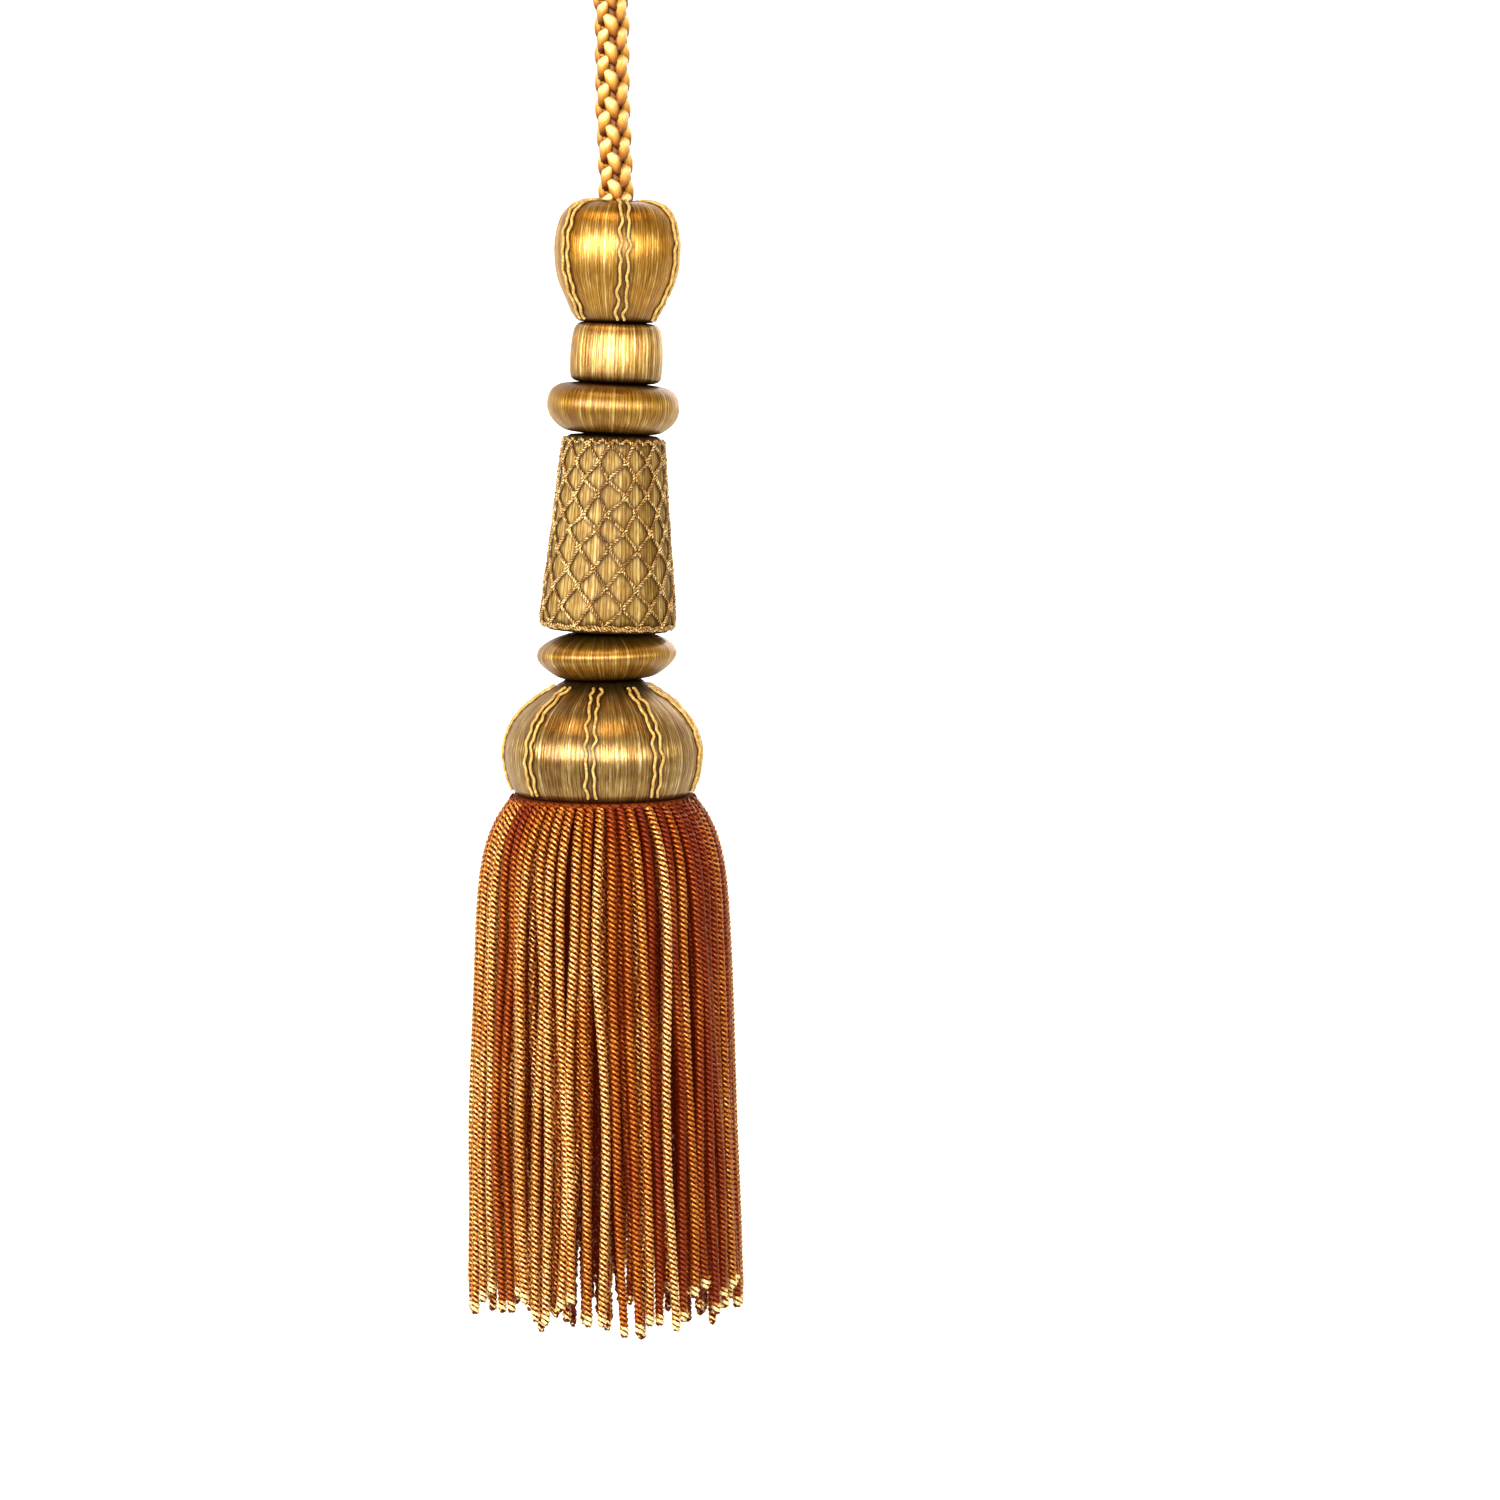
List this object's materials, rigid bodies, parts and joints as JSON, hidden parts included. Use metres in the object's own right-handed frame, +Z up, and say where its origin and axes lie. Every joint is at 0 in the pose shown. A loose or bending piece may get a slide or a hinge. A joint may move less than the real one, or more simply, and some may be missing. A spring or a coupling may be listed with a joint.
{
  "type": "bullion tassel",
  "caption": "Curtain tassel on a braided cord with an eye: wrapped knob, spool, rings, netted body and bulb over a hanging bullion skirt.",
  "frame": {"origin": "inside top of the cord's eye, where the tassel hangs", "axes": "+Z up along the tassel's length, front of the tassel towards -Y, +X to the right seen from the front"},
  "size_m": [0.0685, 0.0686, 0.3787],
  "materials": {
    "cord": "satin braided yarn",
    "whipping": "satin thread",
    "head_floss": "satin floss",
    "ring_floss": "satin floss",
    "trellis_floss": "satin floss",
    "net": "twisted thread",
    "bulb_floss": "satin floss",
    "gimp": "satin wrapped cord",
    "bullion": "satin twisted yarn"
  },
  "bodies": {
    "root": {"hanging_cord": "cord", "loop_whipping": "whipping", "knob": "head_floss", "spool": "head_floss", "upper_ring": "ring_floss", "trellis_body": "trellis_floss", "trellis_net": "net", "lower_ring": "ring_floss", "bulb": "bulb_floss", "knob_gimp_1": "gimp", "knob_gimp_2": "gimp", "knob_gimp_3": "gimp", "knob_gimp_4": "gimp", "knob_gimp_5": "gimp", "knob_gimp_6": "gimp", "bulb_gimp_1": "gimp", "bulb_gimp_2": "gimp", "bulb_gimp_3": "gimp", "bulb_gimp_4": "gimp", "bulb_gimp_5": "gimp", "bulb_gimp_6": "gimp", "bulb_gimp_7": "gimp", "bulb_gimp_8": "gimp", "bulb_gimp_9": "gimp", "bullion_skirt": "bullion"}
  },
  "joints": []
}
